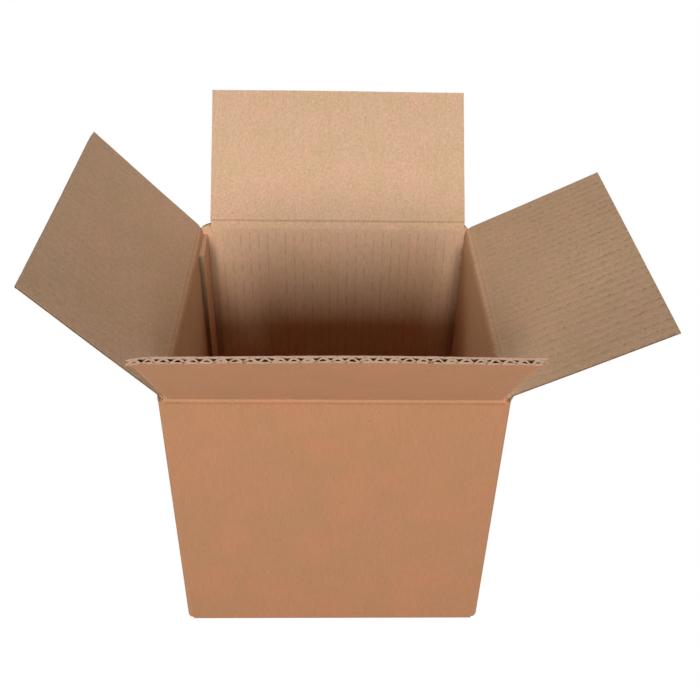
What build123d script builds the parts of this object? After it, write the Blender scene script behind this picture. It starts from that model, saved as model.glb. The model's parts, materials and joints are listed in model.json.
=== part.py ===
from build123d import *
import math
import os

# Regular slotted carton of single-wall corrugated board, with its four top flaps standing open.
# The carton is one creased sheet: four walls, a glue tab inside the back left corner, two bottom
# flaps folded over two more, and four top flaps. Each top flap is a solid of its own because it
# swings on its crease. The origin is the middle of the carton's base, +Z is up, the front wall
# faces -Y, and all lengths are in millimetres.

# Carton, outside
box_width = 237.0  # along X
box_depth = 237.0  # along Y
wall_height = 238.0  # from the floor to the creases of the front and back flaps

# Board: two flat liners with a waved medium glued between them
board = 4.0
liner = 0.45
medium = 0.4
flute_pitch = 7.8
crushed_band = 5.0  # the flutes are pressed shut this far from a crease
edge_margin = 3.0  # least board left beside the last flute

# Creases and slots
crease_gap = 0.2  # each side of a crease stands this far from the line it turns about
corner_bend = 4.0  # outside radius of an upright corner
bottom_bend = 3.0  # outside radius where a wall turns under the carton
major_side_gap = 0.5  # a closed front or back flap to the inner face of a side wall, at each side
minor_side_gap = 1.0  # a closed left or right flap to the inner face of the front or back wall
slot_width = 7.0  # the slot at the glue tab, beside the back flap
slot_play = 0.5  # the scored part of a wall runs this far past its flap
slotted_edge = 1.6  # board left along a flap's side edges, which the slotting knives press thin
slotted_band = 3.0  # the board is pressed this far in from such an edge
lid_clearance = 0.3  # closed front and back flaps lie this far above the other two
flap_gap = 2.0  # two closed flaps stop this far short of each other

# Glue tab and raw edges
tab_length = 34.0
tab_slant = 5.0  # degrees that the tab's ends are cut away
tab_end_gap = 1.0  # tab to the closed left flap above it and to the floor below it
raw_edge_reveal = 0.5  # the left wall's raw edge stops this far short of the back face
open_flute_depth = 2.5  # a cut along a flute leaves a groove this deep between the liners
seam_bend = 3.0  # outside radius where the back wall turns into the tab
seam_bite = 0.15  # that bend presses this far into the left wall
worn_corner = 5.0  # the front flap's left corner is crushed round

# How far each flap leans outwards from upright
lean_front = 40.0
lean_back = 42.0
lean_left = 42.0
lean_right = 62.0

# Outline of an open flute, as shares of the flute pitch to each side of its middle
along_medium = (-0.33, -0.16, 0.0, 0.16, 0.33)
along_liner = 0.43

cut_past = 5.0  # a cutting shape runs this far past what it cuts

# Worked out from the sizes above
half_width = box_width / 2
half_depth = box_depth / 2
inside_x = half_width - board
inside_y = half_depth - board
major_crease = wall_height
minor_crease = wall_height - board - lid_clearance
major_length = half_depth - flap_gap / 2
minor_length = half_width - flap_gap / 2
floor_top = 2 * board
closed_minor_underside = minor_crease - board


def block(x, y, z):
    """A box between two X values, two Y values and two Z values."""
    size = [high - low for low, high in (x, y, z)]
    return Pos(x[0], y[0], z[0]) * Box(*size, align=(Align.MIN, Align.MIN, Align.MIN))


def prism(points, plane, length):
    """A straight prism with this outline in the plane, extruded along the plane's normal."""
    return extrude(plane * make_face(Polyline(*points, close=True)), length)


def crease_frame(origin, inward):
    """Frame of a crease: X along it, Y up the wall, Z from the outer face to the inner one."""
    along = Vector(0, 0, 1).cross(Vector(*inward))
    return Plane(origin=origin, x_dir=along, z_dir=inward)


creases = {
    "front": crease_frame((0, -half_depth, major_crease), (0, 1, 0)),
    "back": crease_frame((0, half_depth, major_crease), (0, -1, 0)),
    "left": crease_frame((-half_width, 0, minor_crease), (1, 0, 0)),
    "right": crease_frame((half_width, 0, minor_crease), (-1, 0, 0)),
}

# Each flap's side edges, along its own crease
major_edge = inside_x - major_side_gap
minor_edge = inside_y - minor_side_gap
flap_edges = {
    "front": (-major_edge, major_edge),
    "back": (-inside_x + slot_width, major_edge),
    "left": (-minor_edge, minor_edge),
    "right": (-minor_edge, minor_edge),
}
flap_lengths = {
    "front": major_length,
    "back": major_length,
    "left": minor_length,
    "right": minor_length,
}
leans = {"front": lean_front, "back": lean_back, "left": lean_left, "right": lean_right}


def flute_outline(centre, towards_inner_liner):
    """One open flute: flat along a liner and curved along the waved medium."""
    wave = board / 2 - liner - medium / 2
    side = 1 if towards_inner_liner else -1
    outline = []
    for share in along_medium:
        rise = medium / 2 - wave * math.cos(2 * math.pi * share)
        outline.append((centre + share * flute_pitch, board / 2 + side * rise))
    for share in (along_liner, -along_liner):
        outline.append((centre + share * flute_pitch, board / 2 + side * (board / 2 - liner)))
    return outline


def flutes(low, high, length):
    """The open flutes of a flap, from the end of the crushed band out through its free edge."""
    count = int((high - low - 2 * edge_margin) / flute_pitch)
    first = (low + high - (count - 1) * flute_pitch) / 2
    start = Plane(origin=(0, board + crushed_band, 0), x_dir=(1, 0, 0), z_dir=(0, -1, 0))
    run = length - board - crushed_band + cut_past
    channels = []
    for index in range(count):
        centre = first + index * flute_pitch
        channels.append(prism(flute_outline(centre, True), start, -run))
        if index < count - 1:
            channels.append(prism(flute_outline(centre + flute_pitch / 2, False), start, -run))
    return channels


def pressed_edges(low, high, length):
    """What is pressed away from a flap's outer face along its two slotted side edges."""
    start = Plane(origin=(0, -cut_past, 0), x_dir=(1, 0, 0), z_dir=(0, -1, 0))
    wedges = []
    for edge, inwards in ((low, 1), (high, -1)):
        band = edge + inwards * slotted_band
        beyond = edge - inwards * cut_past
        depth = board - slotted_edge
        section = [(band, 0), (edge, depth), (beyond, depth), (beyond, -cut_past), (band, -cut_past)]
        wedges.append(prism(section, start, -(length + 2 * cut_past)))
    return wedges


def flap(side):
    """A top flap: a fluted board whose root is cut at 45 degrees so that it can fold flat."""
    low, high = flap_edges[side]
    length = flap_lengths[side]
    section = [
        (crease_gap, 0),
        (length, 0),
        (length, board),
        (board + crease_gap, board),
    ]
    plate = prism(section, Plane(origin=(low, 0, 0), x_dir=(0, 1, 0), z_dir=(1, 0, 0)), high - low)
    if side == "front":
        corner = plate.edges().filter_by(Axis.Z).sort_by(Axis.Y)[-2:].sort_by(Axis.X)[-1]
        plate = fillet(corner, worn_corner)
    plate = plate - flutes(low, high, length) - pressed_edges(low, high, length)
    return creases[side].location * Rotation(-leans[side], 0, 0) * plate


def wall_score(side):
    """What the 45 degree cut takes off the inside of a wall's top, below its flap."""
    low, high = flap_edges[side]
    section = [
        (-crease_gap, 0),
        (-board - crease_gap, board),
        (-board - crease_gap, board + cut_past),
        (cut_past, board + cut_past),
        (cut_past, 0),
    ]
    start = Plane(origin=(low - slot_play, 0, 0), x_dir=(0, 1, 0), z_dir=(1, 0, 0))
    return creases[side].location * prism(section, start, high - low + 2 * slot_play)


def slot_bottoms():
    """What slopes each corner slot's bottom, from beside a front or back flap to the side crease."""
    wedges = []
    top = major_crease + cut_past
    beyond = half_width + cut_past
    for end, name in ((-1, "front"), (1, "back")):
        low, high = flap_edges[name]
        reach = sorted((end * (inside_y - cut_past), end * (half_depth + cut_past)))
        plane = Plane(origin=(0, reach[1], 0), x_dir=(1, 0, 0), z_dir=(0, -1, 0))
        for side, edge in ((-1, -low), (1, high)):
            foot = edge + slot_play
            outline = [
                (foot, major_crease),
                (half_width, minor_crease),
                (beyond, minor_crease),
                (beyond, top),
                (foot, top),
            ]
            points = [(side * x, z) for x, z in outline]
            wedges.append(prism(points, plane, reach[1] - reach[0]))
    return wedges


def carton_outline():
    """Plan of the outer faces, with the raw edge and the tab's bend at the back left corner."""
    x = -half_width + board
    bend = Pos(x + seam_bend - seam_bite, half_depth - seam_bend) * Circle(seam_bend)
    low_corner = (Align.MIN, Align.MAX)
    open_corner = Pos(-half_width, half_depth) * Rectangle(board + seam_bend, seam_bend, align=low_corner)
    raw_end = Pos(-half_width, half_depth - raw_edge_reveal) * Rectangle(
        board, board + seam_bend, align=low_corner
    )
    open_flute = Pos(-half_width + board / 2, half_depth - raw_edge_reveal) * Rectangle(
        board - 2 * liner, open_flute_depth, align=(Align.CENTER, Align.MAX)
    )
    outline = RectangleRounded(box_width, box_depth, corner_bend) - open_corner
    return outline + raw_end + bend - open_flute


def glue_tab():
    """The tab that runs on from the back wall and is glued inside the left wall."""
    root = half_depth - board
    tip = root - tab_length
    slant = tab_length * math.tan(math.radians(tab_slant))
    top = closed_minor_underside - tab_end_gap
    bottom = floor_top + tab_end_gap
    outline = [(root, bottom), (root, top), (tip, top - slant), (tip, bottom + slant)]
    inner_face = -half_width + board
    plane = Plane(origin=(inner_face, 0, 0), x_dir=(0, 1, 0), z_dir=(1, 0, 0))
    open_flute = block(
        (inner_face + liner, inner_face + board - liner),
        (tip - cut_past, tip + open_flute_depth),
        (0, wall_height),
    )
    return prism(outline, plane, board) - open_flute


def outside_bend(corner, outwards):
    """What rounds the outer corner where a wall turns under the carton, along its whole edge."""
    centre = Vector(*corner) - bottom_bend * Vector(*outwards) + Vector(0, 0, bottom_bend)
    plane = Plane(origin=centre, x_dir=outwards, z_dir=Vector(*outwards).cross(Vector(0, 0, -1)))
    square = Rectangle(bottom_bend + cut_past, bottom_bend + cut_past, align=(Align.MIN, Align.MIN))
    return extrude(plane * (square - Circle(bottom_bend)), half_width + half_depth, both=True)


def bottom_gaps():
    """Where the folded bottom flaps stop: the corner slots and the seams between them."""
    past_x = half_width + cut_past
    past_y = half_depth + cut_past
    lower = (-cut_past, board)
    upper = (board, floor_top)
    gaps = [
        block((-past_x, past_x), (-flap_gap / 2, flap_gap / 2), lower),
        block((-flap_gap / 2, flap_gap / 2), (-inside_y, inside_y), upper),
    ]
    for side in (-1, 1):
        slot = sorted((side * major_edge, side * past_x))
        gaps.append(block(slot, (-past_y, past_y), lower))
        beside = sorted((side * minor_edge, side * inside_y))
        gaps.append(block((-inside_x, inside_x), beside, upper))
    return gaps


def box_body():
    """Four walls, the glue tab and the closed bottom, all one folded sheet."""
    body = extrude(carton_outline(), wall_height)
    body -= block((-inside_x, inside_x), (-inside_y, inside_y), (floor_top, wall_height + cut_past))
    for side in (-1, 1):
        above = sorted((side * inside_x, side * (half_width + cut_past)))
        body -= block(above, (-inside_y, inside_y), (minor_crease, wall_height + cut_past))
    for side in creases:
        body -= wall_score(side)
    body -= slot_bottoms()
    for side in (-1, 1):
        body -= outside_bend((0, side * half_depth, 0), (0, side, 0))
        body -= outside_bend((side * half_width, 0, board), (side, 0, 0))
    body -= bottom_gaps()
    return body + glue_tab()


parts = {"box_body": box_body()}
for name in creases:
    parts[f"flap_{name}"] = flap(name)

os.makedirs("parts", exist_ok=True)
for name, part in parts.items():
    part.label = name
    export_step(part, f"parts/{name}.step")
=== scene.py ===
"""Dresses a corrugated shipping carton whose four top flaps stand open.

The walls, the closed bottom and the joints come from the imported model. This file gives the walls
their kraft paper finish, builds each flap as real single-wall board, two liners over a waved medium,
that bends at its crease, and sets the stage. Lengths are in metres unless a name says otherwise.
"""
import json
import math

import bpy
import numpy as np
from mathutils import Matrix, Vector


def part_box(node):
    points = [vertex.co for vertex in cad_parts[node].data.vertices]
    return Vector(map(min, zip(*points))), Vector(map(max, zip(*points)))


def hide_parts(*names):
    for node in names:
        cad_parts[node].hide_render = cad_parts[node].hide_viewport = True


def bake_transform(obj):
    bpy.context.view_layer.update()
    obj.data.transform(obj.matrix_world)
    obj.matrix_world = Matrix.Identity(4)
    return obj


bl_info = {
    "name": "Corrugated Carton",
    "version": (1, 0, 0),
    "blender": (4, 5, 0),
    "location": "3D View > Sidebar > Carton",
    "description": "Kraft board flaps, creases and paper finishes for a regular slotted carton",
    "category": "Object",
}

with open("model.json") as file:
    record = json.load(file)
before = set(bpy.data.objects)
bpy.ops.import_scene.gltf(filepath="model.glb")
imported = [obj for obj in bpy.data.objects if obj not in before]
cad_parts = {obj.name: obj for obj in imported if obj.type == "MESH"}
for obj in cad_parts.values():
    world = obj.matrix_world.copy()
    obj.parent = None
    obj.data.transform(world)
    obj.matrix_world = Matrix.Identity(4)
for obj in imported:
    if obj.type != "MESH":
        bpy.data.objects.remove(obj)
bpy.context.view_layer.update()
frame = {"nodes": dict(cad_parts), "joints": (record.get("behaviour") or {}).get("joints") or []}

MM = 0.001
UP = Vector((0, 0, 1))
INWARD = {
    "front": Vector((0, 1, 0)),
    "back": Vector((0, -1, 0)),
    "left": Vector((1, 0, 0)),
    "right": Vector((-1, 0, 0)),
}
BODY_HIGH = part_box("box_body")[1]
HALF_WIDTH = BODY_HIGH.x
HALF_DEPTH = BODY_HIGH.y

# What each point of a flap's mesh carries: its place on the unfolded sheet, how much the flutes show
# there, and the paper's painted light and shade
SHEET = "sheet_place"
SHOWING = "flutes_showing"
PAINTED_TONE_NAME = "painted_light_and_shade"

# Each liner's colour, and the two colours that its clouds lean to
OUTSIDE_PAPER = ("outside", "outside_red", "outside_ochre")
INSIDE_PAPER = ("inside", "inside_pink", "inside_ochre")

# Patterns of the papers on the walls, and on the flaps, which handling has flattened and scuffed.
# Fibres and breaks count a pattern's cells in a millimetre: across the flutes, along them, through
# Line start and line tone set where the flute lines' painted shade begins and how dark it is
WALL_LOOK = {
    "fibres": (1.3, 0.16, 1.0),
    "grain": 0.36,
    "line start": -0.86,
    "breaks": (0.3, 0.15, 1.0),
    "break end": 0.54,
    "line tone": -0.5,
}
FLAP_LOOK = {
    "fibres": (1.0, 0.45, 1.0),
    "grain": 0.48,
    "line start": -0.3,
    "breaks": (0.75, 0.3, 1.0),
    "break end": 0.62,
    "line tone": -0.32,
}
OUTSIDE_GRAIN = 0.75  # the outer liner's grain, as a share of the inner one's
# The flutes show through as bump and as painted shade
WALL_SHOWING = 0.45  # how much the flutes show through a wall's inner liner

SCORED = {"front": 1.0, "back": 1.0, "left": 0.45, "right": 0.45}  # how hard each crease is scored
SCORE_OUT = 1.7  # millimetres from a crease out to the inner liner's score line

# Lines along a crease, painted shade in the groove where the paper is scored and painted highlight
# on the ridge and bead where it is folded: each one's change of tone, and its distance out from the
# crease and its reach in millimetres
PAINTED_SCORE_SHADE = ((-0.3, SCORE_OUT, 0.6),)
PAINTED_FOLD_HIGHLIGHTS = ((0.2, 0.6, 0.9), (0.08, 3.6, 0.6))
PAINTED_BEAD_LIGHT_AND_SHADE = ((0.32, -0.2, 1.5), (-0.22, -3.3, 0.7))


def linear(code):
    """Linear colour, with alpha, of an sRGB hex code."""
    parts = [int(code[start:start + 2], 16) / 255 for start in (1, 3, 5)]
    return [p / 12.92 if p <= 0.04045 else ((p + 0.055) / 1.055) ** 2.4 for p in parts] + [1.0]


def hinge_of(side):
    """The joint of one flap."""
    return next(joint for joint in frame["joints"] if joint["child"] == f"{side}_flap")


def lean_of(side):
    """How far a flap leans outwards, in radians: closing takes it that much past a quarter turn."""
    return math.radians(hinge_of(side)["range_deg"][1] - 90)


def crease_of(side):
    """A crease's point on the wall's outer face, its direction, and the way into the carton."""
    return Vector(hinge_of(side)["pos_m"]), UP.cross(INWARD[side]), INWARD[side]


def flap_span(side):
    """A flap's two side edges, measured along its crease."""
    low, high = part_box(f"flap_{side}")
    along = crease_of(side)[1]
    return sorted((low.dot(along), high.dot(along)))


def flap_reach(side):
    """From a crease to its flap's free edge, worked out from the flap's height at rest."""
    foot = crease_of(side)[0]
    lean = lean_of(side)
    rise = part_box(f"flap_{side}")[1].z - foot.z
    return (rise - bpy.context.scene.carton_sizes.board * math.sin(lean)) / math.cos(lean)


def smooth_step(value):
    """Eases from 0 to 1 as the value does."""
    value = np.clip(value, 0.0, 1.0)
    return value * value * (3.0 - 2.0 * value)


def bump_at(value, width):
    """A soft bump of height 1 about zero."""
    return np.exp(-(value / width) ** 2)


class CartonSizes(bpy.types.PropertyGroup):
    """Sizes of the board, its creases and its wear."""

    board: bpy.props.FloatProperty(
        name="Board", description="Thickness of the single-wall board", default=4.0 * MM, unit="LENGTH")
    liner: bpy.props.FloatProperty(
        name="Liner", description="Thickness of each liner", default=0.55 * MM, unit="LENGTH")
    medium: bpy.props.FloatProperty(
        name="Medium", description="Thickness of the waved medium", default=0.6 * MM, unit="LENGTH")
    flute_pitch: bpy.props.FloatProperty(
        name="Flute pitch", description="From one flute to the next", default=7.8 * MM, unit="LENGTH")
    sway: bpy.props.FloatProperty(
        name="Sway", description="How far the flutes wander from side to side",
        default=2.4 * MM, unit="LENGTH")
    washboard: bpy.props.FloatProperty(
        name="Washboard", description="How far a liner sinks between two flute tips",
        default=0.02 * MM, unit="LENGTH")
    burr: bpy.props.FloatProperty(
        name="Burr", description="How far the paper fluffs up where the board is cut",
        default=0.4 * MM, unit="LENGTH")
    crease: bpy.props.FloatProperty(
        name="Crease", description="Half the width of the band that bends",
        default=1.9 * MM, unit="LENGTH")
    bead: bpy.props.FloatProperty(
        name="Bead", description="How far the outer liner buckles at a crease",
        default=0.9 * MM, unit="LENGTH")
    pressed: bpy.props.FloatProperty(
        name="Pressed", description="Thickness that is left in the middle of a crease",
        default=2.0 * MM, unit="LENGTH")
    slotted: bpy.props.FloatProperty(
        name="Slotted edge", description="Thickness that is left along a slotted edge",
        default=1.5 * MM, unit="LENGTH")
    overlap: bpy.props.FloatProperty(
        name="Overlap", description="How far a flap's board runs down the wall below its crease",
        default=7.5 * MM, unit="LENGTH")
    worn_corner: bpy.props.FloatProperty(
        name="Worn corner", description="Radius of the front flap's crushed left corner",
        default=2.5 * MM, unit="LENGTH")
    tab: bpy.props.FloatProperty(
        name="Tab", description="Width of the glue tab at the back left corner",
        default=34.0 * MM, unit="LENGTH")
    columns: bpy.props.IntProperty(name="Columns", description="Faces across one flute", default=8)
    rows: bpy.props.IntProperty(name="Rows", description="Faces along a flute", default=60)
    seed: bpy.props.IntProperty(name="Seed", description="Fixes how the flutes sway", default=7)


class CartonColours(bpy.types.PropertyGroup):
    """Colours of the papers."""

    outside: bpy.props.FloatVectorProperty(
        name="Outside liner", description="Kraft liner on the carton's outside",
        size=4, default=linear("#A87451"), subtype="COLOR")
    outside_red: bpy.props.FloatVectorProperty(
        name="Outside, reddish", description="Reddish clouds in the outside liner",
        size=4, default=linear("#AC7450"), subtype="COLOR")
    outside_ochre: bpy.props.FloatVectorProperty(
        name="Outside, ochre", description="Ochre clouds in the outside liner",
        size=4, default=linear("#A4744E"), subtype="COLOR")
    inside: bpy.props.FloatVectorProperty(
        name="Inside liner", description="Paler kraft liner on the carton's inside",
        size=4, default=linear("#E3B790"), subtype="COLOR")
    inside_pink: bpy.props.FloatVectorProperty(
        name="Inside, pink", description="Pinkish clouds in the inside liner",
        size=4, default=linear("#E6B590"), subtype="COLOR")
    inside_ochre: bpy.props.FloatVectorProperty(
        name="Inside, ochre", description="Ochre clouds in the inside liner",
        size=4, default=linear("#DFB58A"), subtype="COLOR")
    medium: bpy.props.FloatVectorProperty(
        name="Medium", description="Recycled fluting paper",
        size=4, default=linear("#A98965"), subtype="COLOR")
    cut: bpy.props.FloatVectorProperty(
        name="Cut edge", description="Torn fibres along a cut",
        size=4, default=linear("#BF987C"), subtype="COLOR")


def add(tree, kind, inputs=None, **settings):
    """Adds a node with its settings. An input takes a value, a socket or a node's first live output."""
    node = tree.nodes.new(kind)
    for key, value in settings.items():
        setattr(node, key, value)
    for key, value in (inputs or {}).items():
        if isinstance(value, bpy.types.Node):
            value = next(socket for socket in value.outputs if socket.enabled)
        if isinstance(value, bpy.types.NodeSocket):
            tree.links.new(value, node.inputs[key])
        else:
            node.inputs[key].default_value = value
    return node


def sheet_place(tree, on_flap=False):
    """Where a point lies on the unfolded sheet, in millimetres: along a crease, along a flute, through.

    The walls read their Object coordinates. A flap reads the attribute that its points got before
    they were bent, so a pattern runs on over the crease and stays put when the flap turns. The
    fourth value is how far a point lies beyond the walls' outer faces.
    """
    if on_flap:
        source = add(tree, "ShaderNodeAttribute", attribute_name=SHEET).outputs["Vector"]
    else:
        source = add(tree, "ShaderNodeTexCoord").outputs["Object"]
    place = add(tree, "ShaderNodeVectorMath", {0: source, "Scale": 1 / MM}, operation="SCALE")
    parts = add(tree, "ShaderNodeSeparateXYZ", {0: place})
    x, y, z = parts.outputs
    off_x = add(tree, "ShaderNodeMath", {0: x}, operation="ABSOLUTE")
    off_y = add(tree, "ShaderNodeMath", {0: y}, operation="ABSOLUTE")
    past_x = add(tree, "ShaderNodeMath", {0: off_x, 1: HALF_WIDTH / MM}, operation="SUBTRACT")
    past_y = add(tree, "ShaderNodeMath", {0: off_y, 1: HALF_DEPTH / MM}, operation="SUBTRACT")
    on_side = add(tree, "ShaderNodeMath", {0: past_x, 1: past_y}, operation="GREATER_THAN")
    across = add(tree, "ShaderNodeMix", {"Factor": on_side, "A": x, "B": y})
    through = add(tree, "ShaderNodeMix", {"Factor": on_side, "A": y, "B": x})
    past = add(tree, "ShaderNodeMath", {0: past_x, 1: past_y}, operation="MAXIMUM")
    return across, z, through, past


def painted_corner_light_and_shade(tree):
    """Painted light and shade inside the walls, in metres of Object coordinates.

    The tab's raw edge is darkened with painted shade, for the flute that lies open along it. Its face is
    lightened with a painted highlight. The corners beside the front and the back wall are darkened
    with painted corner shade, but not near the top.
    """
    board = bpy.context.scene.carton_sizes.board
    tab = bpy.context.scene.carton_sizes.tab
    place = add(tree, "ShaderNodeTexCoord").outputs["Object"]
    x, y, z = add(tree, "ShaderNodeSeparateXYZ", {0: place}).outputs
    facing = add(tree, "ShaderNodeNewGeometry").outputs["True Normal"]
    facing_x, facing_y = add(tree, "ShaderNodeSeparateXYZ", {0: facing}).outputs[:2]

    # The tab lies on the left wall, so its face is two boards in. What looks forwards near its edge
    # is taken for that edge
    tab_face = 2 * board - HALF_WIDTH
    tab_edge = HALF_DEPTH - board - tab
    near = 6 * MM
    forward = add(tree, "ShaderNodeMath", {0: facing_y, 1: -0.5}, operation="LESS_THAN")
    in_corner = add(tree, "ShaderNodeMath", {0: x, 1: tab_face + 0.2 * board}, operation="LESS_THAN")
    from_tab = add(tree, "ShaderNodeMath", {0: y, 1: tab_edge, 2: near}, operation="COMPARE")
    raw = add(tree, "ShaderNodeMath", {0: forward, 1: in_corner}, operation="MULTIPLY")
    raw = add(tree, "ShaderNodeMath", {0: raw, 1: from_tab}, operation="MULTIPLY")
    # Painted shade: the raw edge keeps 0.55 of its colour
    edge = add(tree, "ShaderNodeMath", {0: raw, 1: -0.45, 2: 1.0}, operation="MULTIPLY_ADD")
    # Painted highlight: the tab's face gets 1.25 times its colour
    on_tab = add(tree, "ShaderNodeMath", {0: x, 1: tab_face, 2: 0.5 * MM}, operation="COMPARE")
    sideways = add(tree, "ShaderNodeMath", {0: facing_x, 1: 0.5}, operation="GREATER_THAN")
    face = add(tree, "ShaderNodeMath", {0: on_tab, 1: sideways}, operation="MULTIPLY")
    face = add(tree, "ShaderNodeMath", {0: face, 1: 0.25, 2: edge}, operation="MULTIPLY_ADD")

    # The back wall shows from the tab's face to the right wall, so its middle is half a board off
    off_x = add(tree, "ShaderNodeMath", {0: x, 1: board / 2}, operation="SUBTRACT")
    off_x = add(tree, "ShaderNodeMath", {0: off_x}, operation="ABSOLUTE")
    off_y = add(tree, "ShaderNodeMath", {0: y}, operation="ABSOLUTE")
    # The scored mask is painted corner shade: the front and back walls darken to 0.7 near the corners,
    # less towards the top
    corner = HALF_WIDTH - 1.5 * board
    band_starts, band_full, fades_from, fades_to = 10 * MM, 3 * MM, 30 * MM, 8 * MM
    scored = add(tree, "ShaderNodeMapRange", {
        "Value": off_x, "From Min": corner - band_starts, "From Max": corner - band_full,
        "To Min": 0.0, "To Max": 1.0}, interpolation_type="SMOOTHSTEP")
    below = add(tree, "ShaderNodeMapRange", {
        "Value": z, "From Min": BODY_HIGH.z - fades_from, "From Max": BODY_HIGH.z - fades_to,
        "To Min": 1.0, "To Max": 0.0}, interpolation_type="SMOOTHSTEP")
    scored = add(tree, "ShaderNodeMath", {0: scored, 1: below}, operation="MULTIPLY")
    on_wall = add(tree, "ShaderNodeMath", {
        0: off_y, 1: HALF_DEPTH - board, 2: 0.6 * MM}, operation="COMPARE")
    scored = add(tree, "ShaderNodeMath", {0: scored, 1: on_wall}, operation="MULTIPLY")
    shaded = add(tree, "ShaderNodeMath", {0: scored, 1: -0.3, 2: 1.0}, operation="MULTIPLY_ADD")
    return add(tree, "ShaderNodeMath", {0: face, 1: shaded}, operation="MULTIPLY")


def cloudy_shades(tree, place, papers):
    """The colour of each paper, with clouds 30 to 80 mm across, as the pulp's dye settles."""
    colours = bpy.context.scene.carton_colours
    wide, narrow = 42, 27  # millimetres
    wide_clouds = add(tree, "ShaderNodeTexNoise", {"Vector": place, "Scale": 1 / wide, "Detail": 2.0})
    narrow_clouds = add(tree, "ShaderNodeTexNoise", {
        "Vector": place, "Scale": 1 / narrow, "Detail": 2.0})
    warm = add(tree, "ShaderNodeMapRange", {
        "Value": wide_clouds, "From Min": 0.4, "From Max": 0.65, "To Min": 0.0, "To Max": 1.0})
    cool = add(tree, "ShaderNodeMapRange", {
        "Value": narrow_clouds, "From Min": 0.42, "From Max": 0.68, "To Min": 0.0, "To Max": 0.9})
    shades = []
    for base, warmer, cooler in papers:
        warmed = add(tree, "ShaderNodeMix", {
            "Factor": warm, 6: getattr(colours, base), 7: getattr(colours, warmer)}, data_type="RGBA")
        shades.append(add(tree, "ShaderNodeMix", {
            "Factor": cool, 6: warmed, 7: getattr(colours, cooler)}, data_type="RGBA"))
    return shades


def wall_faces(tree, shades, up, past):
    """On the walls: the colour a point shows, how much its flutes show, its painted light and shade,
    and its grain.

    A point past the middle of the board shows the outer liner. The flutes' bump and painted shade show
    on the inner liner alone, up to a plain band below the creases. Distances here are in millimetres.
    """
    half_board = bpy.context.scene.carton_sizes.board / 2 / MM
    high = BODY_HIGH.z / MM
    fades_from, fades_to = 10, 2
    outside = add(tree, "ShaderNodeMath", {0: past, 1: -half_board}, operation="GREATER_THAN")
    shade = add(tree, "ShaderNodeMix", {
        "Factor": outside, 6: shades[1], 7: shades[0]}, data_type="RGBA")
    below = add(tree, "ShaderNodeMapRange", {
        "Value": up, "From Min": high - fades_from, "From Max": high - fades_to,
        "To Min": WALL_SHOWING, "To Max": 0.0}, interpolation_type="SMOOTHSTEP")
    inner = add(tree, "ShaderNodeMath", {0: 1.0, 1: outside}, operation="SUBTRACT")
    show = add(tree, "ShaderNodeMath", {0: below, 1: inner}, operation="MULTIPLY")
    grain = add(tree, "ShaderNodeMath", {
        0: outside, 1: OUTSIDE_GRAIN - 1.0, 2: 1.0}, operation="MULTIPLY_ADD")
    return shade, show, painted_corner_light_and_shade(tree), grain


def fibre_texture(tree, place, look):
    """Fibres and fine grain, about 1 on the average.

    On the walls the fibres are 0.8 mm wide and 6 mm long, about twice as coarse as real ones so that
    they show. On the scuffed flaps they are tufts of 1 by 2 mm, and the paper looks sandy. The grain
    is 1.2 mm across, coarser than real grit for the same reason.
    """
    stretched = add(tree, "ShaderNodeMapping", {"Vector": place, "Scale": look["fibres"]})
    fibres = add(tree, "ShaderNodeTexNoise", {"Vector": stretched, "Scale": 1.0, "Detail": 3.0})
    grain = add(tree, "ShaderNodeTexNoise", {"Vector": place, "Scale": 0.85, "Detail": 4.0})
    return add(tree, "ShaderNodeMath", {0: fibres, 1: grain}, operation="ADD")


def painted_flute_shade(tree, place, wave, look):
    """Painted shade in broken lines half-way between two flute tips, where the liner sinks.

    On the walls they are dashes 4 to 12 mm long, and on the flaps flecks 2 to 5 mm long.
    """
    valley = add(tree, "ShaderNodeMapRange", {
        "Value": wave, "From Min": look["line start"], "From Max": -1.0, "To Min": 0.0, "To Max": 1.0})
    broken = add(tree, "ShaderNodeMapping", {"Vector": place, "Scale": look["breaks"]})
    breaks = add(tree, "ShaderNodeTexNoise", {"Vector": broken, "Scale": 1.0, "Detail": 3.0})
    dashes = add(tree, "ShaderNodeMapRange", {
        "Value": breaks, "From Min": 0.46, "From Max": look["break end"], "To Min": 0.0, "To Max": 1.0})
    return add(tree, "ShaderNodeMath", {0: valley, 1: dashes}, operation="MULTIPLY")


def specks(tree, place):
    """Tone of the bark and print left in the pulp: specks about 1 mm across, 20 to 30 mm apart."""
    cell = 9  # millimetres; few cells have their middle at the paper's face, so specks lie further apart
    middles = add(tree, "ShaderNodeTexVoronoi", {
        "Vector": place, "Scale": 1 / cell}).outputs["Distance"]
    return add(tree, "ShaderNodeMapRange", {
        "Value": middles, "From Min": 0.045, "From Max": 0.075, "To Min": 0.7, "To Max": 1.0})


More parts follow.
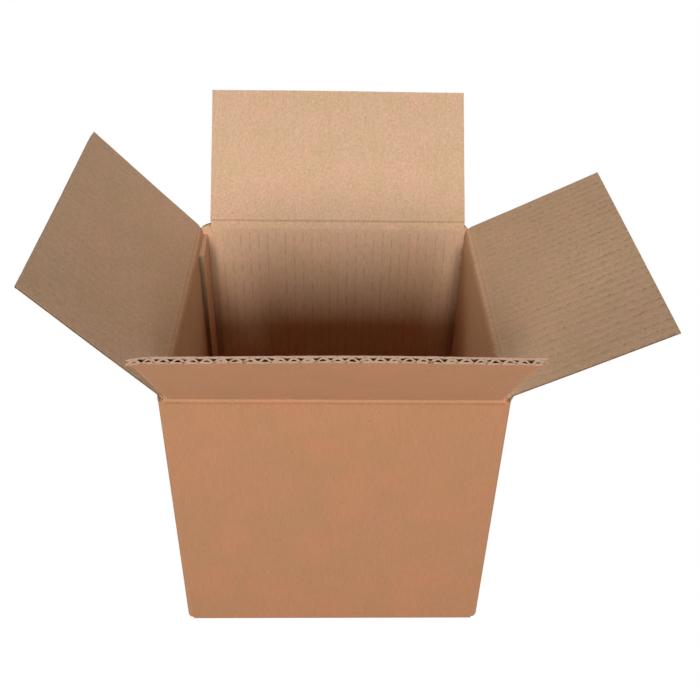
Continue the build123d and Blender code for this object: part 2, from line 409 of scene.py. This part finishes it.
def paper(name, papers, on_flap=False, grain=1.0):
    """Kraft liner, or both liners of a wall, told apart by how far out a point lies.

    Machine-made kraft liner is matte, with long fibres along the machine direction, clouds of
    uneven dye, and faint broken dark lines of painted shade where it sinks between the flute tips under
    it.
    """
    sizes = bpy.context.scene.carton_sizes
    look = FLAP_LOOK if on_flap else WALL_LOOK
    material = bpy.data.materials.new(name)
    material.use_nodes = True
    tree = material.node_tree
    tree.nodes.clear()
    across, up, through, past = sheet_place(tree, on_flap)

    # Stretched through the board, so that its two faces don't show one pattern
    apart = add(tree, "ShaderNodeMath", {0: through, 1: 7.0}, operation="MULTIPLY")
    place = add(tree, "ShaderNodeCombineXYZ", {0: across, 1: up, 2: apart})
    shades = cloudy_shades(tree, place, papers)
    if on_flap:
        shade = shades[0]
        show = add(tree, "ShaderNodeAttribute", attribute_name=SHOWING).outputs["Fac"]
        # Painted light and shade, carried by the flap's points
        painted_tone = add(tree, "ShaderNodeAttribute", attribute_name=PAINTED_TONE_NAME).outputs["Fac"]
    else:
        # The walls take the painted light and shade of their corners
        shade, show, painted_tone, grain = wall_faces(tree, shades, up, past)

    texture = fibre_texture(tree, place, look)
    uneven = add(tree, "ShaderNodeMath", {0: texture, 1: 1.0}, operation="SUBTRACT")
    uneven = add(tree, "ShaderNodeMath", {0: uneven, 1: grain}, operation="MULTIPLY")
    tone = add(tree, "ShaderNodeMath", {0: uneven, 1: look["grain"], 2: 1.0}, operation="MULTIPLY_ADD")

    flute_turns = 2 * math.pi * MM / sizes.flute_pitch
    turns = add(tree, "ShaderNodeMath", {0: across, 1: flute_turns}, operation="MULTIPLY")
    wave = add(tree, "ShaderNodeMath", {0: turns}, operation="COSINE")
    lines = painted_flute_shade(tree, place, wave, look)
    # Painted shade along the flute valleys
    shown = add(tree, "ShaderNodeMath", {0: lines, 1: show}, operation="MULTIPLY")
    flute_shade_tone = add(tree, "ShaderNodeMath", {
        0: shown, 1: look["line tone"], 2: 1.0}, operation="MULTIPLY_ADD")
    # The tone takes in the painted light and shade
    for part in (flute_shade_tone, painted_tone, specks(tree, place)):
        tone = add(tree, "ShaderNodeMath", {0: tone, 1: part}, operation="MULTIPLY")
    toned = add(tree, "ShaderNodeVectorMath", {0: shade, "Scale": tone}, operation="SCALE")

    # The sheen and the bump of an uncoated sheet
    ridged = add(tree, "ShaderNodeMath", {0: wave, 1: show}, operation="MULTIPLY")
    relief = add(tree, "ShaderNodeMath", {0: ridged, 1: 0.3, 2: texture}, operation="MULTIPLY_ADD")
    bump = add(tree, "ShaderNodeBump", {"Strength": 1.0, "Distance": 0.07 * MM, "Height": relief})
    shader = add(tree, "ShaderNodeBsdfPrincipled", {
        "Base Color": toned, "Roughness": 0.86, "Specular IOR Level": 0.22, "Normal": bump})
    add(tree, "ShaderNodeOutputMaterial", {"Surface": shader})
    return material


def cut_paper(name, colour):
    """Cut fluting and liners: raw, fuzzy fibres, without the sheen of a pressed face."""
    material = bpy.data.materials.new(name)
    material.use_nodes = True
    tree = material.node_tree
    tree.nodes.clear()
    across, up, through = sheet_place(tree, on_flap=True)[:3]
    place = add(tree, "ShaderNodeCombineXYZ", {0: across, 1: up, 2: through})

    # Tufts 0.6 mm across
    fuzz = add(tree, "ShaderNodeTexNoise", {"Vector": place, "Scale": 1.6, "Detail": 4.0})
    tone = add(tree, "ShaderNodeMapRange", {
        "Value": fuzz, "From Min": 0.3, "From Max": 0.7, "To Min": 0.78, "To Max": 1.1})
    shade = add(tree, "ShaderNodeVectorMath", {0: tuple(colour)[:3], "Scale": tone}, operation="SCALE")
    bump = add(tree, "ShaderNodeBump", {"Strength": 1.0, "Distance": 0.15 * MM, "Height": fuzz})
    shader = add(tree, "ShaderNodeBsdfPrincipled", {
        "Base Color": shade, "Roughness": 0.95, "Specular IOR Level": 0.1, "Normal": bump})
    add(tree, "ShaderNodeOutputMaterial", {"Surface": shader})
    return material


def flap_papers():
    """The papers that a flap shows: outer liner, inner liner, medium and cut edge."""
    colours = bpy.context.scene.carton_colours
    return (
        paper("Kraft liner outside", (OUTSIDE_PAPER,), on_flap=True, grain=OUTSIDE_GRAIN),
        paper("Kraft liner inside", (INSIDE_PAPER,), on_flap=True),
        cut_paper("Fluting medium", colours.medium),
        cut_paper("Cut kraft edge", colours.cut),
    )


BOARD_INPUTS = {
    "Width": "NodeSocketFloat",
    "Length": "NodeSocketFloat",
    "Middle": "NodeSocketFloat",
    "Board": "NodeSocketFloat",
    "Liner": "NodeSocketFloat",
    "Medium": "NodeSocketFloat",
    "Flute pitch": "NodeSocketFloat",
    "Washboard": "NodeSocketFloat",
    "Sway": "NodeSocketFloat",
    "Columns": "NodeSocketInt",
    "Rows": "NodeSocketInt",
    "Seed": "NodeSocketInt",
}


def closed_paper(tree, grid, height, thickness, face, cut, layer):
    """One paper of the board: the grid at its height, thickened, closed all round, with its layer."""
    offset = add(tree, "ShaderNodeCombineXYZ", {2: height})
    placed = add(tree, "GeometryNodeSetPosition", {"Geometry": grid, "Offset": offset})
    pushed = add(tree, "GeometryNodeExtrudeMesh", {
        "Mesh": placed, "Offset Scale": thickness, "Individual": False})
    under = add(tree, "GeometryNodeFlipFaces", {"Mesh": placed})
    top = add(tree, "GeometryNodeSetMaterial", {"Geometry": pushed, "Material": face})
    edged = add(tree, "GeometryNodeSetMaterial", {
        "Geometry": top, "Selection": pushed.outputs["Side"], "Material": cut})
    bottom = add(tree, "GeometryNodeSetMaterial", {"Geometry": under, "Material": face})
    both = add(tree, "GeometryNodeJoinGeometry")
    tree.links.new(edged.outputs[0], both.inputs[0])
    tree.links.new(bottom.outputs[0], both.inputs[0])
    closed = add(tree, "GeometryNodeMergeByDistance", {"Geometry": both, "Distance": 0.001 * MM})
    return add(tree, "GeometryNodeStoreNamedAttribute", {
        "Geometry": closed, "Name": "layer", "Value": float(layer)})


def board_tree():
    """Geometry nodes for flat single-wall board: flutes along Y, the outer liner's face at height 0.

    Each of the three papers is a sheet that is pushed to its own thickness and closed all round. A
    named attribute says which paper a point belongs to: 0 outer liner, 1 medium, 2 inner liner.
    """
    tree = bpy.data.node_groups.new("Corrugated board", "GeometryNodeTree")
    tree.interface.new_socket(name="Board", in_out="OUTPUT", socket_type="NodeSocketGeometry")
    for name, kind in BOARD_INPUTS.items():
        tree.interface.new_socket(name=name, in_out="INPUT", socket_type=kind)
    given = add(tree, "NodeGroupInput").outputs
    columns = add(tree, "ShaderNodeMath", {0: given["Columns"], 1: 1.0}, operation="ADD")
    rows = add(tree, "ShaderNodeMath", {0: given["Rows"], 1: 1.0}, operation="ADD")
    grid = add(tree, "GeometryNodeMeshGrid", {
        "Size X": given["Width"], "Size Y": given["Length"], "Vertices X": columns, "Vertices Y": rows})

    # The flute wave, swaying a little from side to side as it does in real board
    sway_length = 26 * MM
    place = add(tree, "GeometryNodeInputPosition")
    across = add(tree, "ShaderNodeSeparateXYZ", {0: place})
    shifted = add(tree, "ShaderNodeMath", {0: across, 1: given["Middle"]}, operation="ADD")
    drift = add(tree, "ShaderNodeTexNoise", {
        "Vector": place, "W": given["Seed"], "Scale": 1 / sway_length, "Detail": 1.0},
        noise_dimensions="4D")
    centred = add(tree, "ShaderNodeMath", {0: drift, 1: 0.5}, operation="SUBTRACT")
    swayed = add(tree, "ShaderNodeMath", {
        0: centred, 1: given["Sway"], 2: shifted}, operation="MULTIPLY_ADD")
    flutes = add(tree, "ShaderNodeMath", {0: swayed, 1: given["Flute pitch"]}, operation="DIVIDE")
    turns = add(tree, "ShaderNodeMath", {0: flutes, 1: 2 * math.pi}, operation="MULTIPLY")
    wave = add(tree, "ShaderNodeMath", {0: turns}, operation="COSINE")

    # Heights of the three papers: a liner sinks by the washboard's depth where no flute tip backs it
    half_board = add(tree, "ShaderNodeMath", {0: given["Board"], 1: 0.5}, operation="MULTIPLY")
    between = add(tree, "ShaderNodeMath", {0: half_board, 1: given["Liner"]}, operation="SUBTRACT")
    half_medium = add(tree, "ShaderNodeMath", {0: given["Medium"], 1: 0.5}, operation="MULTIPLY")
    swing = add(tree, "ShaderNodeMath", {0: between, 1: half_medium}, operation="SUBTRACT")
    medium_base = add(tree, "ShaderNodeMath", {0: half_board, 1: half_medium}, operation="SUBTRACT")
    inner_base = add(tree, "ShaderNodeMath", {0: given["Board"], 1: given["Liner"]}, operation="SUBTRACT")
    sink = add(tree, "ShaderNodeMath", {0: given["Washboard"], 1: 0.5}, operation="MULTIPLY")
    lift = add(tree, "ShaderNodeMath", {0: wave, 1: sink, 2: sink}, operation="MULTIPLY_ADD")
    drop = add(tree, "ShaderNodeMath", {0: lift, 1: given["Washboard"]}, operation="SUBTRACT")
    heights = (
        lift,
        add(tree, "ShaderNodeMath", {0: wave, 1: swing, 2: medium_base}, operation="MULTIPLY_ADD"),
        add(tree, "ShaderNodeMath", {0: drop, 1: inner_base}, operation="ADD"),
    )
    thicknesses = (given["Liner"], given["Medium"], given["Liner"])
    outside, inside, fluting, cut = flap_papers()
    faces = (outside, fluting, inside)
    joined = add(tree, "GeometryNodeJoinGeometry")
    for layer, (height, thickness, face) in enumerate(zip(heights, thicknesses, faces)):
        sheet = closed_paper(tree, grid, height, thickness, face, cut, layer)
        tree.links.new(sheet.outputs[0], joined.inputs[0])
    real = add(tree, "GeometryNodeRealizeInstances", {"Geometry": joined})
    finished = add(tree, "GeometryNodeSetMaterial", {
        "Geometry": real, "Selection": False, "Material": cut})
    add(tree, "NodeGroupOutput", {0: finished})
    return tree


def flat_board(side, length):
    """A flap's board lying flat, made by the geometry nodes and turned into a plain mesh."""
    sizes = bpy.context.scene.carton_sizes
    low, high = flap_span(side)
    tree = bpy.data.node_groups.get("Corrugated board") or board_tree()
    values = {
        "Width": high - low,
        "Length": length,
        "Middle": (low + high) / 2,
        "Board": sizes.board,
        "Liner": sizes.liner,
        "Medium": sizes.medium,
        "Flute pitch": sizes.flute_pitch,
        "Washboard": sizes.washboard,
        "Sway": sizes.sway,
        "Columns": round((high - low) / sizes.flute_pitch * sizes.columns),
        "Rows": sizes.rows,
        "Seed": sizes.seed + sorted(INWARD).index(side),
    }
    holder = bpy.data.objects.new("flat_board", bpy.data.meshes.new("flat_board"))
    bpy.context.scene.collection.objects.link(holder)
    modifier = holder.modifiers.new("board", "NODES")
    modifier.node_group = tree
    for item in tree.interface.items_tree:
        if item.item_type == "SOCKET" and item.in_out == "INPUT":
            modifier[item.identifier] = values[item.name]
    evaluated = holder.evaluated_get(bpy.context.evaluated_depsgraph_get())
    mesh = bpy.data.meshes.new_from_object(evaluated)
    bpy.data.objects.remove(holder)
    return mesh


def row_places(share, length, overlap):
    """Spreads the rows: a third of a millimetre apart about the crease, close at the free edge too."""
    shares = (0.0, 0.07, 0.43, 0.8, 1.0)
    places = (-overlap, -3.6 * MM, 4.4 * MM, length - 5.0 * MM, length)
    return np.interp(share, shares, places)


def round_corner(along, out, corner_along, corner_out, radius):
    """Turns the square corner of a grid into a round one of this radius."""
    from_along = (along - corner_along) * np.sign(corner_along) + radius
    from_out = out - corner_out + radius
    inside = (from_along > 0) & (from_out > 0)
    square = np.maximum(from_along, from_out)
    round_way = np.hypot(from_along, from_out)
    keep = np.where(inside, square / np.where(inside, round_way, 1.0), 1.0)
    along = along + (keep - 1.0) * from_along * np.sign(corner_along)
    out = out + (keep - 1.0) * from_out
    return along, out


def flutes_showing(side, out, length):
    """How much the flutes show through a liner, in bump and painted shade: not in the crease, more
    towards the free edge.
    """
    # Painted shade: each flap's amount follows how the lamps graze it, most on the right flap
    most = {"front": 0.1, "back": 0.15, "left": 0.25, "right": 1.0}[side]
    on_flap = most * (0.5 + 0.5 * smooth_step(out / length))
    plain, fade = 2 * MM, 8 * MM
    return np.where(out > 0, on_flap, WALL_SHOWING) * smooth_step((np.abs(out) - plain) / fade)


def painted_crease_lines(out, lines):
    """Painted light and shade of a liner beside its crease: dark lines in its groove, pale lines on its
    ridge.
    """
    tone = 1.0
    for change, place, reach in lines:
        tone = tone + change * bump_at(out - place * MM, reach * MM)
    return tone


def painted_light_and_shade(side, out, share, length, forward):
    """Painted light and shade of the paper: lines along the crease, and painted shade on the side flaps.

    The side flaps' painted shade deepens towards their free edges and the front of the carton.
    """
    if side in ("front", "back"):
        # Painted shade in the inner liner's score groove
        inside = painted_crease_lines(out, PAINTED_SCORE_SHADE)
    else:
        painted_tip_shade = {"left": 0.02, "right": 0.07}[side]
        # Painted shade on the side flaps' insides, towards the tip and the front, faded in from the
        # crease
        painted_front_shade, front_reach, unshaded_band = 0.13, 100 * MM, 12 * MM
        painted_flap_shade = painted_tip_shade * smooth_step(1.7 * out / length)
        painted_flap_shade = painted_flap_shade + painted_front_shade * smooth_step(forward / front_reach)
        inside = painted_crease_lines(out, PAINTED_FOLD_HIGHLIGHTS) * (1.0 - painted_flap_shade * smooth_step(out / unshaded_band))
    # The outside gets a painted highlight on the bead and painted shade 3.3 mm below the crease
    return np.where(share > 0.5, inside, painted_crease_lines(out, PAINTED_BEAD_LIGHT_AND_SHADE))


def read_vectors(mesh, kind):
    """A vector for each point of a mesh: its place, "co", or the way it faces, "normal"."""
    values = np.empty(len(mesh.vertices) * 3)
    mesh.vertices.foreach_get(kind, values)
    return values.reshape(-1, 3)


def pressed_height(side, across, out, share, near_cut):
    """Height of each point over the outer face, once the board is scored, slotted and cut.

    The share says how far through the board a point lies: 0 on the outer face, 1 on the inner one.
    """
    sizes = bpy.context.scene.carton_sizes
    low, high = flap_span(side)
    scored = SCORED[side]

    # Full thickness, and less in the crease
    press_reach = 1.7 * MM
    pressed = sizes.board - scored * (sizes.board - sizes.pressed) * bump_at(out, press_reach)

    # Little is left along the slotted edges, but the front flap's open up again at its free edge
    slot_start, slot_reach, opening = 4.0 * MM, 2.2 * MM, 12 * MM
    from_side = np.minimum(across - low, high - across)
    slotted = smooth_step(out / slot_start)
    if side == "front":
        slotted = slotted * (1.0 - 0.8 * smooth_step((out - flap_reach(side)) / opening + 1.2))
    crushed = bump_at(np.maximum(from_side, 0.0), slot_reach) * slotted
    thick = pressed - (pressed - sizes.slotted) * crushed

    # The knife presses the free edge from outside, here more and there less
    knife_press, slow, quick = 0.2 * MM, 17 * MM, 5.3 * MM
    wander = np.sin(across / slow + 1.3) * np.sin(across / quick)
    thick = thick - knife_press * near_cut * (1.0 + wander)
    raised = pressed - thick

    # On the wall the board stands a hair proud of the face, and its rim dips into it
    proud_by, rim_dip, rim_band = 0.07 * MM, 0.02 * MM, 1.2 * MM
    below, fade = 4 * MM, 3 * MM
    rim = np.minimum(out + sizes.overlap, from_side)
    on_wall = 1.0 - smooth_step((out + below) / fade)
    proud = (proud_by * smooth_step(rim / rim_band) - rim_dip) * on_wall

    # The outer liner buckles into a bead over the crease, and the inner one has its score's groove
    bead_reach, score_reach = 1.3 * MM, 0.55 * MM
    score_depth = (0.9 * scored - 0.35) * MM
    bead = sizes.bead * bump_at(out, bead_reach)
    score = score_depth * bump_at(out - SCORE_OUT * MM, score_reach)
    return raised - proud - bead * (1.0 - share) + share * (thick + 2 * proud - score)


def knock_corner(across, out, height, corner_across, corner_out):
    """Blunts a flap's corner and bends it down a little, as a knock does."""
    knock_reach, thinned, bent_down = 7.5 * MM, 0.12, 1.2 * MM
    radius = bpy.context.scene.carton_sizes.worn_corner
    across, out = round_corner(across, out, corner_across, corner_out, radius)
    knocked = bump_at(np.hypot(corner_across - across, corner_out - out), knock_reach)
    return across, out, height * (1.0 - thinned * knocked) - bent_down * knocked


def bend_board(mesh, side):
    """Presses a flat board's crease and edges, then leans its flap outwards about the crease."""
    sizes = bpy.context.scene.carton_sizes
    foot, along, inward = crease_of(side)
    low, high = flap_span(side)
    length = flap_reach(side)
    flat = read_vectors(mesh, "co")
    facing = read_vectors(mesh, "normal")
    layer = np.empty(len(mesh.vertices))
    mesh.attributes["layer"].data.foreach_get("value", layer)
    across = flat[:, 0] + (low + high) / 2
    out = row_places(flat[:, 1] / (length + sizes.overlap) + 0.5, length, sizes.overlap)
    through = flat[:, 2]

    # Unfolded place, for the papers' patterns
    sheet = np.outer(across, along) + np.outer(out, UP) + np.outer(through, inward) + np.array(foot)

    # The cut edge's fuzz thickens every paper, here more and there less, and most inside the board
    fuzzy_band, swell_on_face, swell_inside = 1.6 * MM, 0.35, 1.6
    tuft, clump = 1.9 * MM, 7.3 * MM
    near_cut = smooth_step(1.0 - (length - out) / fuzzy_band)
    fluff = sizes.burr * near_cut * (1.0 + 0.7 * np.sin(across / tuft) * np.sin(across / clump))
    on_face = np.abs(through - sizes.board / 2) > sizes.board / 2 - sizes.liner / 2
    across = across + facing[:, 0] * fluff
    through = through + facing[:, 2] * fluff * np.where(on_face, swell_on_face, swell_inside)

    share = through / sizes.board
    height = pressed_height(side, across, out, share, near_cut)

    # The knife drags the medium towards the outer liner
    knife_drag = 0.3 * MM
    height = height - knife_drag * near_cut * (layer == 1)
    if side == "front":
        across, out, height = knock_corner(across, out, height, high, length)

    # A flap is never quite flat
    bow, bow_start, bow_length = 0.5 * MM, 60 * MM, 38 * MM
    height = height + bow * smooth_step(out / bow_start) * np.sin(across / bow_length + 2.0)

    lean = lean_of(side) * smooth_step((out / sizes.crease + 1.0) / 2.0)
    rise = out * np.cos(lean) + height * np.sin(lean)
    depth = height * np.cos(lean) - out * np.sin(lean)
    placed = np.outer(across, along) + np.outer(rise, UP) + np.outer(depth, inward) + np.array(foot)
    mesh.vertices.foreach_set("co", placed.ravel())
    mesh.attributes.new(SHEET, "FLOAT_VECTOR", "POINT").data.foreach_set("vector", sheet.ravel())
    shown = flutes_showing(side, out, length)
    # Painted light and shade along the creases and on the side flaps
    flap_painted_tone = painted_light_and_shade(side, out, share, length, forward=-sheet[:, 1])
    for name, values in ((SHOWING, shown), (PAINTED_TONE_NAME, flap_painted_tone)):
        mesh.attributes.new(name, "FLOAT", "POINT").data.foreach_set("value", values)
    mesh.shade_smooth()
    mesh.set_sharp_from_angle(angle=math.radians(50))
    mesh.update()


class CARTON_OT_flaps(bpy.types.Operator):
    """Build the four top flaps as creased single-wall board"""

    bl_idname = "carton.flaps"
    bl_label = "Flaps"

    def execute(self, context):
        sizes = context.scene.carton_sizes
        for side in INWARD:
            mesh = flat_board(side, flap_reach(side) + sizes.overlap)
            bend_board(mesh, side)
            piece = bpy.data.objects.new(f"board_{side}", mesh)
            context.scene.collection.objects.link(piece)
            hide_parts(f"flap_{side}")
            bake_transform(piece)
        return {"FINISHED"}


class CARTON_OT_walls(bpy.types.Operator):
    """Give the walls and the bottom their kraft papers"""

    bl_idname = "carton.walls"
    bl_label = "Walls"

    def execute(self, context):
        finish = paper("Kraft board walls", (OUTSIDE_PAPER, INSIDE_PAPER))
        for slot in frame["nodes"]["box_body"].material_slots:
            slot.material = finish
        return {"FINISHED"}


def lamp(name, place, aim, size, power, colour):
    """A square soft lamp that points at a place, with its power in watts."""
    light = bpy.data.lights.new(name, "AREA")
    light.size = size
    light.energy = power
    light.color = colour
    holder = bpy.data.objects.new(name, light)
    bpy.context.scene.collection.objects.link(holder)
    holder.location = place
    holder.rotation_euler = (Vector(aim) - Vector(place)).to_track_quat("-Z", "Y").to_euler()


def white_for_camera(tree, plain, share):
    """Mixes in plain white for what the camera sees straight, in a reflection or through glass."""
    white = add(tree, "ShaderNodeEmission", {"Color": (1, 1, 1, 1), "Strength": 1.02})
    path = add(tree, "ShaderNodeLightPath")
    seen = add(tree, "ShaderNodeMath", {
        0: path.outputs["Is Camera Ray"], 1: path.outputs["Is Glossy Ray"]}, operation="MAXIMUM")
    seen = add(tree, "ShaderNodeMath", {
        0: seen, 1: path.outputs["Is Transmission Ray"]}, operation="MAXIMUM")
    part = add(tree, "ShaderNodeMath", {0: seen, 1: share}, operation="MULTIPLY")
    return add(tree, "ShaderNodeMixShader", {0: part, 1: plain, 2: white})


class CARTON_OT_stage(bpy.types.Operator):
    """Set the floor, the lights, the world and the camera"""

    bl_idname = "carton.stage"
    bl_label = "Stage"

    def execute(self, context):
        scene = context.scene
        reach = 5.0
        mesh = bpy.data.meshes.new("floor")
        corners = [(-reach, -reach, 0), (reach, -reach, 0), (reach, reach, 0), (-reach, reach, 0)]
        mesh.from_pydata(corners, [], [(0, 1, 2, 3)])
        floor = bpy.data.objects.new("floor", mesh)
        scene.collection.objects.link(floor)

        # Matt white paint: it shows no reflection, and keeps the carton's shadow
        material = bpy.data.materials.new("White studio floor")
        material.use_nodes = True
        tree = material.node_tree
        tree.nodes.clear()
        matte = add(tree, "ShaderNodeBsdfDiffuse", {"Color": (0.85, 0.85, 0.85, 1)})
        add(tree, "ShaderNodeOutputMaterial", {"Surface": white_for_camera(tree, matte, 0.97)})
        mesh.materials.append(material)

        world = bpy.data.worlds.new("Studio")
        scene.world = world
        world.use_nodes = True
        tree = world.node_tree
        tree.nodes.clear()
        ambient = add(tree, "ShaderNodeBackground", {"Color": (1, 1, 1, 1), "Strength": 0.02})
        add(tree, "ShaderNodeOutputWorld", {"Surface": white_for_camera(tree, ambient, 1.0)})

        # A low soft key from the front leaves the carton's inside dark, and weak lamps fill the rest
        aim = (0.0, 0.0, 0.2)
        daylight, warm = (0.93, 1.0, 1.1), (1.0, 1.0, 0.93)
        lamp("key", (-0.1, -2.48, 1.24), aim, 1.0, 74.0, daylight)
        lamp("left", (-1.0, 0.6, 0.85), aim, 0.45, 2.75, warm)
        lamp("right", (0.85, 0.7, 1.1), aim, 0.45, 2.0, warm)
        lamp("back", (0.5, 2.4, 0.3), aim, 0.9, 12.0, daylight)

        # Low lamps reach the outsides of the side and back walls, and the open flaps shade the inside
        far, near_floor, low_aim = 2.4, 0.07, (0.0, 0.0, 0.12)
        lamp("low left", (-far, 0.0, near_floor), low_aim, 0.12, 16.0, daylight)
        lamp("low right", (far, 0.0, near_floor), low_aim, 0.12, 16.0, daylight)
        lamp("low back", (0.0, far, near_floor), low_aim, 0.12, 16.0, daylight)

        # The camera stands where the corners of the flaps and the front wall in the photograph put it
        camera = bpy.data.cameras.new("camera")
        camera.sensor_width = 36.0
        camera.lens = 46.4
        camera.clip_start = 0.01
        holder = bpy.data.objects.new("camera", camera)
        scene.collection.objects.link(holder)
        turn, dip, roll = math.radians(-1.79), math.radians(37.33), math.radians(1.36)
        away = Vector((-math.sin(turn) * math.cos(dip), math.cos(turn) * math.cos(dip), -math.sin(dip)))
        level = Vector((math.cos(turn), math.sin(turn), 0))
        upright = level.cross(away)
        right = math.cos(roll) * level + math.sin(roll) * upright
        top = -math.sin(roll) * level + math.cos(roll) * upright
        pose = Matrix((right, top, -away)).transposed().to_4x4()
        pose.translation = Vector((-0.0053, -0.5759, 0.6289))
        holder.matrix_world = pose
        scene.camera = holder
        scene.view_settings.view_transform = "Standard"
        return {"FINISHED"}


class CARTON_PT_panel(bpy.types.Panel):
    """Sizes, colours and steps of the carton"""

    bl_idname = "CARTON_PT_panel"
    bl_label = "Corrugated Carton"
    bl_space_type = "VIEW_3D"
    bl_region_type = "UI"
    bl_category = "Carton"

    def draw(self, context):
        layout = self.layout
        for group in (context.scene.carton_sizes, context.scene.carton_colours):
            box = layout.box()
            for name in group.__annotations__:
                box.prop(group, name)
        for operator in STEPS:
            layout.operator(operator.bl_idname)


STEPS = (CARTON_OT_walls, CARTON_OT_flaps, CARTON_OT_stage)
CLASSES = (CartonSizes, CartonColours, *STEPS, CARTON_PT_panel)


def register():
    """Registers the classes and hangs the sizes and colours on the scene."""
    for cls in CLASSES:
        bpy.utils.register_class(cls)
    bpy.types.Scene.carton_sizes = bpy.props.PointerProperty(type=CartonSizes)
    bpy.types.Scene.carton_colours = bpy.props.PointerProperty(type=CartonColours)


def unregister():
    """Undoes what register did."""
    del bpy.types.Scene.carton_sizes
    del bpy.types.Scene.carton_colours
    for cls in reversed(CLASSES):
        bpy.utils.unregister_class(cls)


def main():
    """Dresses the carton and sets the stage."""
    register()
    bpy.ops.carton.walls()
    bpy.ops.carton.flaps()
    bpy.ops.carton.stage()


if __name__ == "__main__":
    main()
